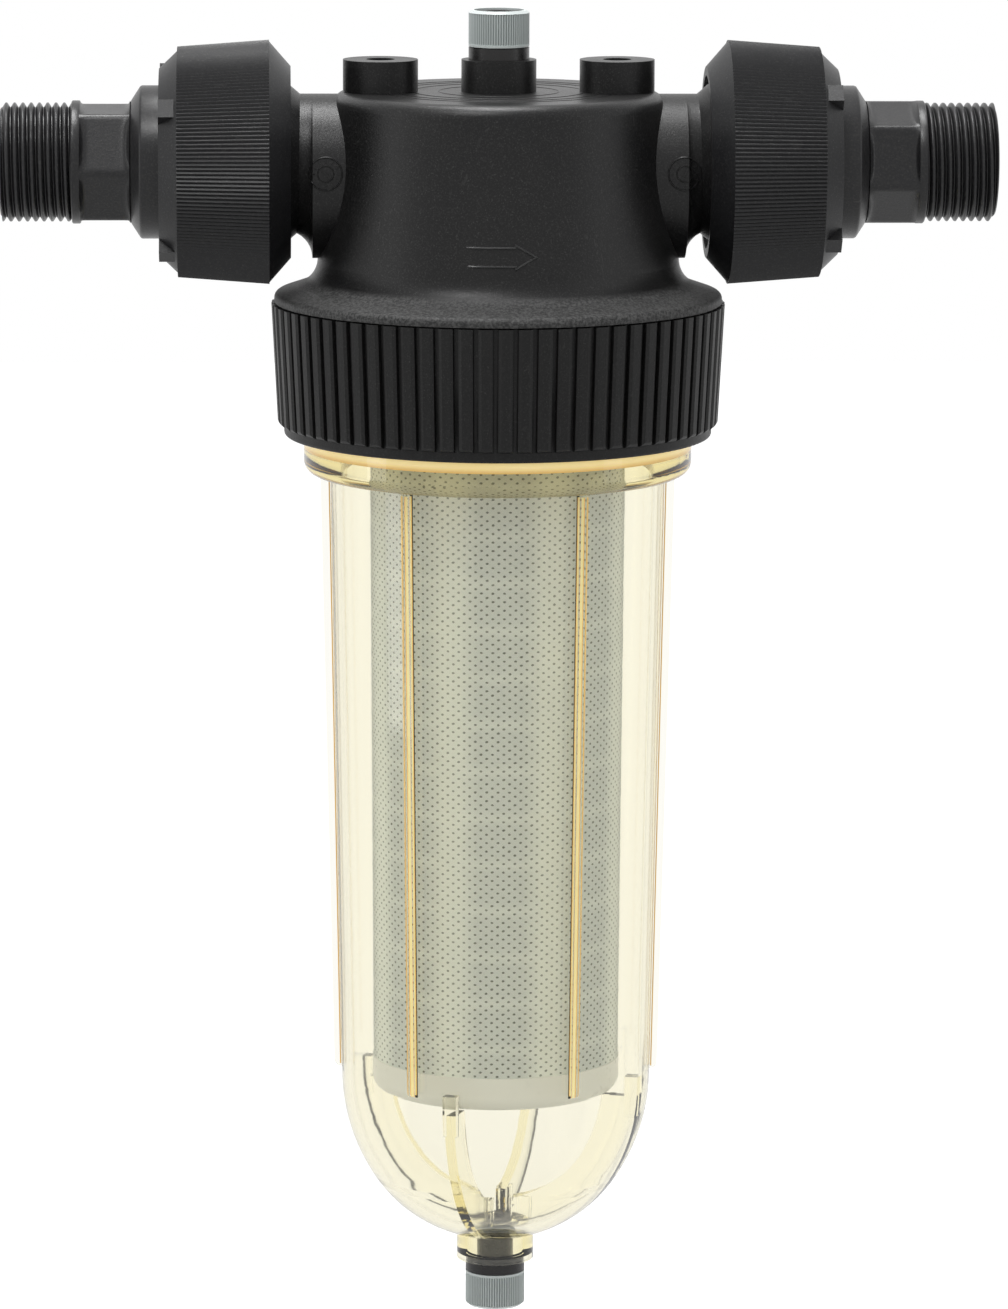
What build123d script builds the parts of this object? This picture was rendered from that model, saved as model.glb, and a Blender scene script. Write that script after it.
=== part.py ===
from build123d import *
import os
from math import cos, pi, sin, sqrt

# In-line sediment filter with a clear bowl. Lengths are millimetres. Heights in this file count
# from the pipe axis, and each piece is written with the bracket face at height zero. The pipe runs
# along X with the inlet at -X, the front is -Y and the bowl hangs along -Z.

# Gaps between pieces
turning_gap = 0.05
sliding_gap = 0.3
seal_gap = 0.1

# Driving widths: the bowl's neck for the bowl, head and ring, and the pipe's bore for the ports
neck_r = 52.2
port_bore_r = 12.5
sleeve_fit_r = 35.5

# Head
boss_face_z = 28.8
boss_height = 9.0
boss_r = 10.5
boss_spacing = 66.2
bracket_hole_r = 4.0
bracket_hole_depth = 11.0
shoulder_round = 4.0
head_foot_z = -27.0
chamber_inset = 4.2
head_foot_wall = 2.7
head_taper = 4.5
head_wall = 4.2
flange_z = -39.1
flange_drop = 4.0
flange_edge = 2.3
flange_fillet = 8.0
flange_round = 1.6

# Threaded skirt of the head
neck_gap = 0.4
skirt_wall = 5.4
skirt_length = 21.9
skirt_thread_start = 1.5
skirt_thread_depth = 1.5
skirt_thread_pitch = 4.6
skirt_thread_turns = 4
thread_rise = 0.25
thread_crest_end = 0.5
thread_fall_end = 0.8

# Outlet spigot inside the head
spigot_r = 20.0
spigot_wall = 3.5
spigot_drop = 12.9
elbow_wall = 4.0

# Pipe ports of the head, outwards from the bowl axis
port_tube_wall = 6.6
port_cone_length = 5.4
port_reach = 10.3
port_thread_length = 21.0
port_thread_wall = 11.4
port_thread_depth = 1.2
port_thread_pitch = 2.9
port_flare_r = 7.8
port_flare_setback = 1.0
port_flare_side = 0.35

# Unions
union_seal_width = 8.5
union_seal_thickness = 2.0
tail_flange_gap = 0.6
tail_flange_thickness = 4.0
tail_flange_step = 1.9
tail_collar_length = 12.4
tail_collar_round = 0.6
tail_neck_length = 2.6
thread_wall = 4.12
tail_neck_wall = 4.0
hexagon_side_wall = 3.0
hexagon_corner_wall = 4.6
hexagon_length = 14.1
thread_collar_length = 2.2
thread_length = 19.9
thread_lead_in = 0.8
nut_overlap = 2.8
nut_inner_wall = 2.9
nut_inner_cone = 6.0
nut_wall = 10.2
nut_taper = 1.9
nut_knurl_length = 25.6
nut_step = 1.2
nut_end_cone = 4.9
nut_end_length = 5.1
nut_ridge_depth = 0.45
nut_ridges = 180
nut_lug_width = 5.6
nut_lug_height = 4.1
nut_lug_turn = {-1: 35.0, 1: 45.0}
hexagon_turn = {-1: 15.0, 1: 50.0}

# Clamp ring
ring_gap = 0.4
ring_wall = 3.7
ring_taper = 1.8
ring_rib_length = 34.3
ring_rib_height = 1.8
ring_rib_round = 2.0
ring_ribs = 72
ring_band_height = 2.9
ring_band_round = 0.9
ring_lip_thickness = 6.3

# Bowl
neck_bore_draft = 0.9
neck_length = 10.6
neck_round = 0.8
bowl_flange_gap = 0.5
bowl_flange_thickness = 8.3
collar_step = 2.5
collar_length = 10.8
collar_round = 3.5
wall_step = 4.9
wall_taper = 3.2
wall_length = 173.4
bowl_wall = 3.0
dome_height = 48.9
dome_nose_share = 0.95
bowl_ribs = 6
bowl_rib_width = 2.2
bowl_rib_turn = -3.0
bowl_rib_top_height = 2.8
bowl_rib_end_height = 2.1
bowl_rib_end_round = 1.9
fin_count = 4
fin_turn = -20.0
fin_width = 2.8
fin_depth = 9.0
fin_drop = 4.3
fin_post_width = 3.8
fin_post_height = 5.8
fin_foot_r = 9.0
fin_foot_height = 12.6
drain_boss_r = 11.0
drain_boss_length = 6.3

# Seals
bowl_seal_section = 1.2
bowl_seal_drop = 6.3
spigot_seal_section = 0.9
plug_seal_thickness = 1.2

# Filter cartridge
cage_taper = 1.2
cage_lift = 7.9
cage_wall = 2.4
cage_plate = 4.0
cage_neck_height = 9.0
cage_neck_wall = 3.6
window_pitch = 13.3
window_height = 9.9
window_columns = 8
window_share = 0.68
window_start = 24.0
sleeve_thickness = 0.8
sleeve_gap = 0.1
sleeve_start = 4.5
sleeve_overhang = 2.1
end_cap_height = 9.8
end_cap_round = 4.0
end_cap_wall = 2.5
end_cap_inner_round = 2.0
end_cap_plug = 6.0
vane_start = 3.0
vane_height = 16.0
vane_hub_wall = 2.0
vane_blades = 8
vane_blade_thickness = 1.8
vane_twist = 34.0
vane_bowl_gap = 1.3

# Vent and drain plugs
plug_collar_r = 8.5
plug_collar_height = 3.4
plug_screw_r = 5.2
plug_screw_length = 11.0
plug_screw_round = 0.6
plug_nose_r = 7.0
plug_nose_round = 0.4
plug_nose_drop = 0.5
plug_mouth_r = 4.0
plug_mouth_depth = 3.0
plug_bore_r = 2.2
plug_cap_height = 10.1
plug_cap_ridge = 0.3
plug_cap_ridges = 72
plug_cap_rim = 0.6
plug_cap_bevel = 0.75
vent_hole_r = 2.0

# Heights that follow
head_top_z = boss_face_z - boss_height
skirt_end_z = flange_z - skirt_length
neck_top_z = flange_z - neck_length
bowl_seal_z = neck_top_z - bowl_seal_drop
spigot_end_z = flange_z - spigot_drop
ring_top_z = flange_z - ring_gap
ring_rib_end_z = ring_top_z - ring_rib_length
ring_end_z = ring_rib_end_z - ring_band_height
lip_top_z = ring_end_z + ring_lip_thickness
bowl_flange_z = lip_top_z + sliding_gap
collar_end_z = ring_end_z - collar_length
dome_z = collar_end_z - wall_length
bowl_rib_end_z = dome_z + 1.0
fin_top_z = dome_z - fin_drop
bowl_end_z = dome_z - dome_height
drain_face_z = bowl_end_z - drain_boss_length
cage_top_z = spigot_end_z - cage_plate
cage_end_z = dome_z + cage_lift
sleeve_top_z = cage_top_z - sleeve_start
sleeve_end_z = cage_end_z - sleeve_overhang
first_window_z = sleeve_top_z - window_start
window_rows = int((first_window_z - cage_end_z) / window_pitch) + 1
vane_top_z = cage_top_z - vane_start
vane_end_z = vane_top_z - vane_height
plug_nose_z = plug_collar_height + sliding_gap + plug_cap_height - plug_nose_drop
spigot_seal_z = (cage_top_z + cage_neck_height + spigot_end_z) / 2

# Radii that follow
skirt_bore_r = neck_r + neck_gap
skirt_r = skirt_bore_r + skirt_wall
ring_bore_r = skirt_r + sliding_gap
ring_rib_top_r = ring_bore_r + ring_wall + ring_rib_height
ring_rib_end_r = ring_rib_top_r - ring_taper
flange_r = ring_rib_top_r - ring_rib_height / 2
chamber_r = neck_r - chamber_inset
head_foot_r = chamber_r + head_foot_wall
head_top_r = head_foot_r - head_taper
body_draft = head_taper / (head_top_z - head_foot_z)
bowl_flange_r = skirt_r - bowl_flange_gap
collar_r = neck_r + collar_step
ring_lip_r = collar_r + neck_gap
wall_top_r = neck_r - wall_step
wall_end_r = wall_top_r - wall_taper
neck_bore_r = wall_top_r - bowl_wall + neck_bore_draft
spigot_bore_r = spigot_r - spigot_wall
cage_top_r = sleeve_fit_r
cage_end_r = cage_top_r - cage_taper
window_width = window_share * 2 * pi * cage_top_r / window_columns
sleeve_top_r = cage_top_r + sleeve_gap + sleeve_thickness
sleeve_end_r = cage_end_r + sleeve_gap + sleeve_thickness
plug_cap_r = plug_collar_r
port_tube_r = port_bore_r + port_tube_wall
port_thread_r = port_bore_r + port_thread_wall
union_seal_r = port_bore_r + union_seal_width
tail_flange_r = port_thread_r - tail_flange_gap
tail_collar_r = tail_flange_r - tail_flange_step
tail_neck_r = port_bore_r + tail_neck_wall
hexagon_flats = 2 * (port_bore_r + hexagon_side_wall)
hexagon_corner_r = port_bore_r + hexagon_corner_wall
thread_r = port_bore_r + thread_wall
nut_inner_r = port_thread_r + nut_inner_wall
nut_big_r = port_thread_r + nut_wall
nut_small_r = nut_big_r - nut_taper
nut_step_r = nut_small_r - nut_step
nut_outer_r = nut_step_r - nut_end_cone
nut_lug_r = nut_outer_r + nut_lug_height

# Distances along the pipe that follow
port_thread_x = head_foot_r + port_reach
port_cone_x = port_thread_x - port_cone_length
port_face_x = port_thread_x + port_thread_length
tail_face_x = port_face_x + union_seal_thickness
tail_flange_x = tail_face_x + tail_flange_thickness
tail_collar_x = tail_flange_x + tail_collar_length
tail_neck_x = tail_collar_x + tail_neck_length
hexagon_end_x = tail_neck_x + hexagon_length
thread_collar_x = hexagon_end_x + thread_collar_length
thread_end_x = thread_collar_x + thread_length
nut_inner_x = port_thread_x - nut_overlap
nut_inner_cone_x = nut_inner_x + nut_inner_cone
nut_knurl_end_x = nut_inner_cone_x + nut_knurl_length
nut_outer_x = nut_knurl_end_x + nut_end_length


def profile(*corners):
    """Closed section with straight sides. A third value in a corner is its rounding."""
    section = make_face(Polyline([corner[:2] for corner in corners], close=True))
    for corner in corners:
        if len(corner) == 3:
            nearest = section.vertices().sort_by_distance((corner[0], corner[1], 0))[0]
            section = fillet(nearest, corner[2])
    return section


def turned(*corners):
    """Solid of revolution about the vertical axis from (radius, height) corners."""
    return revolve(Plane.XZ * profile(*corners), axis=Axis.Z)


def rod(radius, low, high):
    return Pos(0, 0, low) * Cylinder(radius, high - low, align=(Align.CENTER, Align.CENTER, Align.MIN))


def ring(outer, inner, low, high):
    return rod(outer, low, high) - rod(inner, low, high)


def round_seal(radius, section, height):
    return Pos(0, 0, height) * Torus(radius, section)


def along_pipe(shape, side):
    """Lay a piece that was built upright along the pipe, outwards on one side."""
    return Rot(0, 90 * side, 0) * shape


def thread_ridges(crest_r, depth, pitch, turns, start, direction):
    """Corners of coarse thread ridges, one ring for each turn, going up or down."""
    corners = []
    for turn in range(turns):
        foot = start + direction * turn * pitch
        corners += [
            (crest_r - depth, foot),
            (crest_r, foot + direction * thread_rise * pitch),
            (crest_r, foot + direction * thread_crest_end * pitch),
            (crest_r - depth, foot + direction * thread_fall_end * pitch),
        ]
    return corners


def ridged_outline(crest_r, depth, count):
    """Outline of a knurl with pointed ridges."""
    points = []
    for step in range(2 * count):
        radius = crest_r - depth * (step % 2)
        angle = pi * step / count
        points.append((radius * cos(angle), radius * sin(angle)))
    return make_face(Polyline(points, close=True))


def ridged_cone(low_r, high_r, low, high, depth, count):
    foot = Pos(0, 0, low) * ridged_outline(low_r, depth, count)
    head = Pos(0, 0, high) * ridged_outline(high_r, depth, count)
    return loft([foot, head], ruled=True)


def port_flare():
    """Saddle that blends a port tube into the head, its top level with the tube."""
    centre_x = port_thread_x - port_flare_setback
    sections = []
    for share in (0.0, 0.3, 0.55, 0.75, 0.9, 1.0):
        back = share * port_flare_r
        drop = port_flare_r - sqrt(port_flare_r ** 2 - back ** 2)
        oval = Ellipse(port_tube_r + drop / 2, port_tube_r + port_flare_side * drop)
        plane = Plane((centre_x - back, 0, -drop / 2), x_dir=(0, 0, 1), z_dir=(1, 0, 0))
        sections.append(plane * oval)
    flare = loft(sections)
    inner = (centre_x - port_flare_r) / 2
    foot = extrude(sections[-1], -inner)
    return flare + foot


def port_outside():
    turns = int((port_face_x - port_thread_x) / port_thread_pitch)
    return turned(
        (0, head_top_r / 2),
        (port_tube_r, head_top_r / 2),
        (port_tube_r, port_cone_x),
        (port_thread_r - port_thread_depth, port_thread_x - port_thread_depth),
        *thread_ridges(port_thread_r, port_thread_depth, port_thread_pitch, turns, port_thread_x, 1),
        (port_thread_r - port_thread_depth, port_face_x),
        (0, port_face_x),
    )


def filter_head():
    flange_slope_z = flange_z + flange_edge
    thread_top_z = flange_z - skirt_thread_start
    neck_r = head_foot_r + body_draft * (head_foot_z - flange_slope_z - flange_drop)
    body = turned(
        (0, head_top_z),
        (head_top_r, head_top_z, shoulder_round),
        (neck_r, flange_slope_z + flange_drop, flange_fillet),
        (flange_r, flange_slope_z, flange_round),
        (flange_r, flange_z),
        (skirt_r - skirt_thread_depth, flange_z),
        *thread_ridges(skirt_r, skirt_thread_depth, skirt_thread_pitch, skirt_thread_turns, thread_top_z, -1),
        (skirt_r - skirt_thread_depth, skirt_end_z),
        (0, skirt_end_z),
    )
    flare = port_flare()
    body += [along_pipe(port_outside(), 1), along_pipe(port_outside(), -1)]
    body += [flare, Rot(0, 0, 180) * flare]
    for place in (-boss_spacing / 2, 0, boss_spacing / 2):
        body += Pos(place, 0, 0) * rod(boss_r, head_top_z - 1, boss_face_z)

    roof_z = head_top_z - head_wall
    body -= turned(
        (0, roof_z),
        (head_top_r - head_wall, roof_z, shoulder_round),
        (chamber_r, head_foot_z),
        (chamber_r, neck_top_z + sliding_gap),
        (skirt_bore_r, neck_top_z + sliding_gap),
        (skirt_bore_r, skirt_end_z),
        (0, skirt_end_z),
    )
    elbow = rod(spigot_r, spigot_end_z, roof_z + 1)
    elbow += along_pipe(rod(port_bore_r + elbow_wall, 0, chamber_r), 1)
    body += elbow
    body -= rod(spigot_bore_r, spigot_end_z, port_bore_r - 2)
    body -= along_pipe(rod(port_bore_r, 0, port_face_x), 1)
    body -= along_pipe(rod(port_bore_r, spigot_r + elbow_wall, port_face_x), -1)
    screw_end_z = boss_face_z - plug_screw_length
    body -= rod(vent_hole_r, 0, screw_end_z)
    body -= rod(plug_screw_r + turning_gap, screw_end_z, boss_face_z)
    body -= rod(plug_collar_r - seal_gap, boss_face_z - plug_seal_thickness, boss_face_z)
    for place in (-boss_spacing / 2, boss_spacing / 2):
        body -= Pos(place, 0, 0) * rod(bracket_hole_r, boss_face_z - bracket_hole_depth, boss_face_z)
    return body


def rib_outline(crest_r, height, count):
    """Outline of the clamp ring's rounded ribs, with narrow grooves between them."""
    pitch = 2 * pi / count
    shape = ((-0.5, 1.0), (-0.38, 1.0), (-0.36, 0.3), (-0.2, 0.04), (0.2, 0.04), (0.36, 0.3), (0.38, 1.0))
    points = []
    for rib in range(count):
        for place, depth in shape:
            angle = (rib + place) * pitch
            radius = crest_r - depth * height
            points.append((radius * cos(angle), radius * sin(angle)))
    return make_face(Polyline(points, close=True))


def clamp_ring():
    base_top_r = ring_rib_top_r - ring_rib_height
    base_end_r = ring_rib_end_r - ring_rib_height
    foot = Pos(0, 0, ring_rib_end_z) * rib_outline(ring_rib_end_r, ring_rib_height, ring_ribs)
    head = Pos(0, 0, ring_top_z) * rib_outline(ring_rib_top_r, ring_rib_height, ring_ribs)
    ribs = loft([foot, head], ruled=True)
    ribs &= turned(
        (0, ring_top_z),
        (ring_rib_top_r + turning_gap, ring_top_z),
        (ring_rib_end_r + turning_gap, ring_rib_end_z, ring_rib_round),
        (0, ring_rib_end_z),
    )
    base = turned(
        (0, ring_top_z),
        (base_top_r, ring_top_z),
        (base_end_r, ring_rib_end_z),
        (base_end_r, ring_end_z, ring_band_round),
        (0, ring_end_z),
    )
    bore = turned(
        (0, ring_top_z),
        (ring_bore_r, ring_top_z),
        (ring_bore_r, lip_top_z),
        (ring_lip_r, lip_top_z),
        (ring_lip_r, ring_end_z),
        (0, ring_end_z),
    )
    return ribs + base - bore


def domed(radius, height, *corners):
    """Solid of revolution with an oval end of two tangent arcs. The corners run up from its rim."""
    nose_r = dome_nose_share * radius
    nose_z = dome_z - height + nose_r
    side_r = (radius ** 2 + (height - nose_r) ** 2 - nose_r ** 2) / (2 * (radius - nose_r))
    reach = nose_r / (side_r - nose_r)
    join = (reach * (side_r - radius), nose_z + reach * (nose_z - dome_z))
    foot = (0, dome_z - height)
    nose = RadiusArc(foot, join, -nose_r)
    side = RadiusArc(join, (radius, dome_z), -side_r)
    rest = Polyline([(radius, dome_z), *corners, (0, corners[-1][1]), foot])
    return revolve(Plane.XZ * make_face(nose + side + rest), axis=Axis.Z)


def bowl_outside():
    flange_top_z = bowl_flange_z + bowl_flange_thickness
    groove_half = bowl_seal_section + seal_gap
    groove_r = neck_r - 2 * bowl_seal_section + seal_gap
    body = domed(
        wall_end_r,
        dome_height,
        (wall_top_r, collar_end_z + collar_round),
        (neck_bore_r, collar_end_z + collar_round),
        (neck_bore_r, neck_top_z),
    )
    body += turned(
        (0, collar_end_z),
        (collar_r, collar_end_z, collar_round),
        (collar_r, bowl_flange_z),
        (bowl_flange_r, bowl_flange_z),
        (bowl_flange_r, flange_top_z),
        (neck_r, flange_top_z),
        (neck_r, bowl_seal_z - groove_half),
        (groove_r, bowl_seal_z - groove_half),
        (groove_r, bowl_seal_z + groove_half),
        (neck_r, bowl_seal_z + groove_half),
        (neck_r, neck_top_z, neck_round),
        (0, neck_top_z),
    )
    return body + rod(drain_boss_r, drain_face_z, bowl_end_z + bowl_wall)


def bowl_inside():
    inside_top_r = wall_top_r - bowl_wall
    shoulder_z = collar_end_z + bowl_wall
    return domed(
        wall_end_r - bowl_wall,
        dome_height - bowl_wall,
        (inside_top_r, shoulder_z),
        (neck_bore_r, neck_top_z),
    )


def bowl_ribs_outside():
    """Six upright ribs on the bowl's wall, rounded at their lower ends."""
    envelope = turned(
        (wall_end_r - bowl_wall / 2, bowl_rib_end_z),
        (wall_top_r - bowl_wall / 2, collar_end_z + 1),
        (wall_top_r + bowl_rib_top_height, collar_end_z + 1),
        (wall_end_r + bowl_rib_end_height, bowl_rib_end_z, bowl_rib_end_round),
    )
    length = collar_end_z - bowl_rib_end_z + 2
    slab = Pos(0, 0, bowl_rib_end_z) * Box(
        2.2 * collar_r, bowl_rib_width, length, align=(Align.CENTER, Align.CENTER, Align.MIN)
    )
    turns = [bowl_rib_turn + 360 / bowl_ribs * rib for rib in range(bowl_ribs // 2)]
    return [envelope & Rot(0, 0, turn) * slab for turn in turns]


def bowl_fins():
    """Fins that follow the inside of the dome, each with a square post at both ends."""
    inner_r = wall_end_r - bowl_wall
    inner_height = dome_height - bowl_wall
    space = domed(inner_r + bowl_wall / 2, inner_height + bowl_wall / 2, (inner_r + bowl_wall / 2, dome_z + 1))
    core = domed(inner_r - fin_depth, inner_height - fin_depth, (inner_r - fin_depth, dome_z + 1))
    post_space = domed(
        inner_r + bowl_wall / 2,
        inner_height + bowl_wall / 2,
        (inner_r + bowl_wall / 2, dome_z + fin_post_height),
    )
    standing = (Align.CENTER, Align.CENTER, Align.MIN)
    slab = Pos(0, 0, bowl_end_z) * Box(2 * wall_end_r, fin_width, fin_top_z - bowl_end_z, align=standing)
    fins = (slab + Rot(0, 0, 90) * slab) & space
    fins -= core
    foot_post = Pos(fin_foot_r, 0, bowl_end_z) * Box(
        fin_post_width, fin_post_width, fin_foot_height, align=standing
    )
    head_post = Pos(inner_r - fin_post_width / 4, 0, fin_top_z - fin_post_height) * Box(
        fin_post_width, fin_post_width, 2 * fin_post_height, align=standing
    )
    for fin in range(fin_count):
        turn = Rot(0, 0, 90 * fin)
        fins += turn * foot_post & space
        fins += turn * head_post & post_space
    return Rot(0, 0, fin_turn - 90) * fins


def clear_bowl():
    bowl = bowl_outside() + bowl_ribs_outside() - bowl_inside()
    bowl += bowl_fins()
    drain_way = turned(
        (0, drain_face_z),
        (plug_collar_r - seal_gap, drain_face_z),
        (plug_collar_r - seal_gap, drain_face_z + plug_seal_thickness),
        (plug_screw_r + turning_gap, drain_face_z + plug_seal_thickness),
        (plug_screw_r + turning_gap, bowl_end_z + 2 * fin_depth),
        (0, bowl_end_z + 2 * fin_depth),
    )
    return bowl - drain_way


def bowl_seal():
    return round_seal(neck_r - bowl_seal_section + 2 * seal_gap, bowl_seal_section, bowl_seal_z)


def sleeve_cage():
    inner_top_r = cage_top_r - cage_wall
    inner_end_r = cage_end_r - cage_wall
    plate_z = cage_top_z - cage_plate
    neck_inner_r = spigot_r + turning_gap
    cage = turned(
        (neck_inner_r, cage_top_z + cage_neck_height),
        (neck_inner_r + cage_neck_wall, cage_top_z + cage_neck_height),
        (neck_inner_r + cage_neck_wall, cage_top_z),
        (cage_top_r, cage_top_z),
        (cage_end_r, cage_end_z),
        (inner_end_r, cage_end_z),
        (inner_top_r, plate_z),
        (spigot_bore_r, plate_z),
        (spigot_bore_r, spigot_end_z - sliding_gap),
        (neck_inner_r, spigot_end_z - sliding_gap),
    )
    cutters = []
    for row in range(window_rows):
        height = first_window_z - row * window_pitch
        for column in range(window_columns // 2):
            turn = 360 / window_columns * column
            opening = Box(2.4 * cage_top_r, window_width, window_height)
            cutters.append(Rot(0, 0, turn) * Pos(0, 0, height) * opening)
    cage -= cutters
    cage -= ring(
        neck_inner_r + 2 * spigot_seal_section + seal_gap,
        neck_inner_r - 1,
        spigot_seal_z - spigot_seal_section - seal_gap,
        spigot_seal_z + spigot_seal_section + seal_gap,
    )
    return cage


def spigot_seal():
    return round_seal(spigot_r + spigot_seal_section + seal_gap, spigot_seal_section, spigot_seal_z)


def filter_sleeve():
    slope = (cage_top_r - cage_end_r) / (cage_top_z - cage_end_z)
    inner_top_r = cage_top_r + sleeve_gap + slope * (sleeve_top_z - cage_top_z)
    inner_end_r = cage_top_r + sleeve_gap + slope * (sleeve_end_z - cage_top_z)
    return turned(
        (inner_top_r, sleeve_top_z),
        (inner_top_r + sleeve_thickness, sleeve_top_z),
        (inner_end_r + sleeve_thickness, sleeve_end_z),
        (inner_end_r, sleeve_end_z),
    )


def sleeve_end_cap():
    low = sleeve_end_z - end_cap_height
    plug_r = cage_end_r - cage_wall - turning_gap
    return turned(
        (0, low),
        (sleeve_end_r, low, end_cap_round),
        (sleeve_end_r, sleeve_end_z),
        (plug_r, sleeve_end_z),
        (plug_r, sleeve_end_z + end_cap_plug),
        (plug_r - end_cap_wall, sleeve_end_z + end_cap_plug),
        (plug_r - end_cap_wall, low + end_cap_wall, end_cap_inner_round),
        (0, low + end_cap_wall),
    )


def swirl_vane():
    hub_r = sleeve_top_r + turning_gap
    hub = ring(hub_r + vane_hub_wall, hub_r, vane_end_z, vane_top_z)
    tip_r = neck_bore_r - vane_bowl_gap
    root_r = hub_r + vane_hub_wall / 2
    section = Rectangle(tip_r - root_r, vane_blade_thickness)
    levels = []
    for share in (0.0, 0.5, 1.0):
        height = vane_end_z + share * (vane_top_z - vane_end_z)
        place = Pos(0, 0, height) * Rot(0, 0, share * vane_twist) * Pos((tip_r + root_r) / 2, 0)
        levels.append(place * section)
    blade = loft(levels, ruled=True)
    return hub + [Rot(0, 0, 360 / vane_blades * turn) * blade for turn in range(vane_blades)]


def plug_body(bore_length):
    """Screwed plug with its collar's seat at height zero, its nose up and its screw down."""
    nose_z = plug_nose_z
    body = turned(
        (0, -plug_screw_length),
        (plug_screw_r, -plug_screw_length, plug_screw_round),
        (plug_screw_r, 0),
        (plug_collar_r, 0),
        (plug_collar_r, plug_collar_height),
        (plug_nose_r, plug_collar_height),
        (plug_nose_r, nose_z, plug_nose_round),
        (0, nose_z),
    )
    body -= rod(plug_mouth_r, nose_z - plug_mouth_depth, nose_z)
    return body - rod(plug_bore_r, nose_z - bore_length, nose_z)


def plug_cap():
    """Knurled ring that screws on the plug's nose, with its lower rim at height zero."""
    rim = ring(plug_cap_r, plug_nose_r + turning_gap, 0, plug_cap_rim)
    knurl = ridged_cone(
        plug_cap_r, plug_cap_r, plug_cap_rim, plug_cap_height - plug_cap_bevel, plug_cap_ridge, plug_cap_ridges
    )
    crown = turned(
        (0, plug_cap_height - plug_cap_bevel),
        (plug_cap_r, plug_cap_height - plug_cap_bevel),
        (plug_cap_r - plug_cap_bevel, plug_cap_height),
        (0, plug_cap_height),
    )
    cap = rim + (knurl + crown - rod(plug_nose_r + turning_gap, 0, plug_cap_height))
    return cap


def plug_seal():
    return ring(
        plug_collar_r - 2 * seal_gap, plug_screw_r + 2 * seal_gap, -plug_seal_thickness, 0
    )


def on_boss(shape):
    return Pos(0, 0, boss_face_z) * shape


def under_bowl(shape):
    return Pos(0, 0, drain_face_z) * Rot(180, 0, 0) * shape


def union_seal():
    return ring(union_seal_r, port_bore_r, port_face_x, tail_face_x)


def union_tail(side):
    tail = turned(
        (0, tail_face_x),
        (tail_flange_r, tail_face_x),
        (tail_flange_r, tail_flange_x),
        (tail_collar_r, tail_flange_x),
        (tail_collar_r, tail_collar_x, tail_collar_round),
        (tail_neck_r, tail_neck_x),
        (tail_neck_r, thread_collar_x - 1),
        (0, thread_collar_x - 1),
    )
    hexagon = extrude(RegularPolygon(hexagon_flats / 2, 6, major_radius=False), hexagon_end_x - tail_neck_x)
    hexagon = Pos(0, 0, tail_neck_x) * Rot(0, 0, hexagon_turn[side]) * hexagon
    tail += hexagon & rod(hexagon_corner_r, tail_neck_x, hexagon_end_x)
    tail += turned(
        (0, hexagon_end_x),
        (hexagon_corner_r, hexagon_end_x),
        (hexagon_corner_r, thread_collar_x),
        (thread_r, thread_collar_x),
        (thread_r, thread_end_x - thread_lead_in),
        (thread_r - thread_lead_in, thread_end_x),
        (0, thread_end_x),
    )
    return tail - rod(port_bore_r, tail_face_x, thread_end_x)


def union_nut(side):
    knurl = ridged_cone(
        nut_big_r, nut_small_r, nut_inner_cone_x, nut_knurl_end_x, nut_ridge_depth, nut_ridges
    )
    inner = turned(
        (0, nut_inner_x),
        (nut_inner_r, nut_inner_x),
        (nut_big_r - nut_ridge_depth, nut_inner_cone_x),
        (0, nut_inner_cone_x),
    )
    outer = turned(
        (0, nut_knurl_end_x),
        (nut_step_r, nut_knurl_end_x),
        (nut_outer_r, nut_outer_x),
        (0, nut_outer_x),
    )
    nut = inner + knurl + outer
    lug_length = nut_outer_x - nut_knurl_end_x
    lug_inner_r = nut_outer_r - 2
    lug = Pos(lug_inner_r, 0, nut_knurl_end_x) * Box(
        nut_lug_r - lug_inner_r, nut_lug_width, lug_length, align=(Align.MIN, Align.CENTER, Align.MIN)
    )
    for turn in range(4):
        nut += Rot(0, 0, nut_lug_turn[side] + 90 * turn) * lug
    web_x = tail_flange_x + sliding_gap
    nut -= rod(port_thread_r + sliding_gap, nut_inner_x, web_x)
    return nut - rod(tail_collar_r + sliding_gap, web_x, nut_outer_x)


def write(name, shape):
    """Write one piece with the bracket face at height zero."""
    export_step(Pos(0, 0, -boss_face_z) * shape, f"parts/{name}.step")


os.makedirs("parts", exist_ok=True)
plug_bore_length = plug_nose_z + plug_screw_length
write("filter_head", filter_head())
write("clamp_ring", clamp_ring())
write("clear_bowl", clear_bowl())
write("bowl_seal", bowl_seal())
write("swirl_vane", swirl_vane())
write("sleeve_cage", sleeve_cage())
write("spigot_seal", spigot_seal())
write("filter_sleeve", filter_sleeve())
write("sleeve_end_cap", sleeve_end_cap())
write("vent_body", on_boss(plug_body(plug_bore_length)))
write("vent_cap", on_boss(Pos(0, 0, plug_collar_height + sliding_gap) * plug_cap()))
write("vent_seal", on_boss(plug_seal()))
write("drain_body", under_bowl(plug_body(plug_bore_length)))
write("drain_cap", under_bowl(Pos(0, 0, plug_collar_height + sliding_gap) * plug_cap()))
write("drain_seal", under_bowl(plug_seal()))
for name, side in (("inlet", -1), ("outlet", 1)):
    write(f"{name}_seal", along_pipe(union_seal(), side))
    write(f"{name}_tail", along_pipe(union_tail(side), side))
    write(f"{name}_nut", along_pipe(union_nut(side), side))
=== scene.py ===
import bpy
import bmesh
from math import atan2, ceil, cos, pi, radians, sin, sqrt, tau
from mathutils import Matrix, Vector
from mathutils.bvhtree import BVHTree


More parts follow.
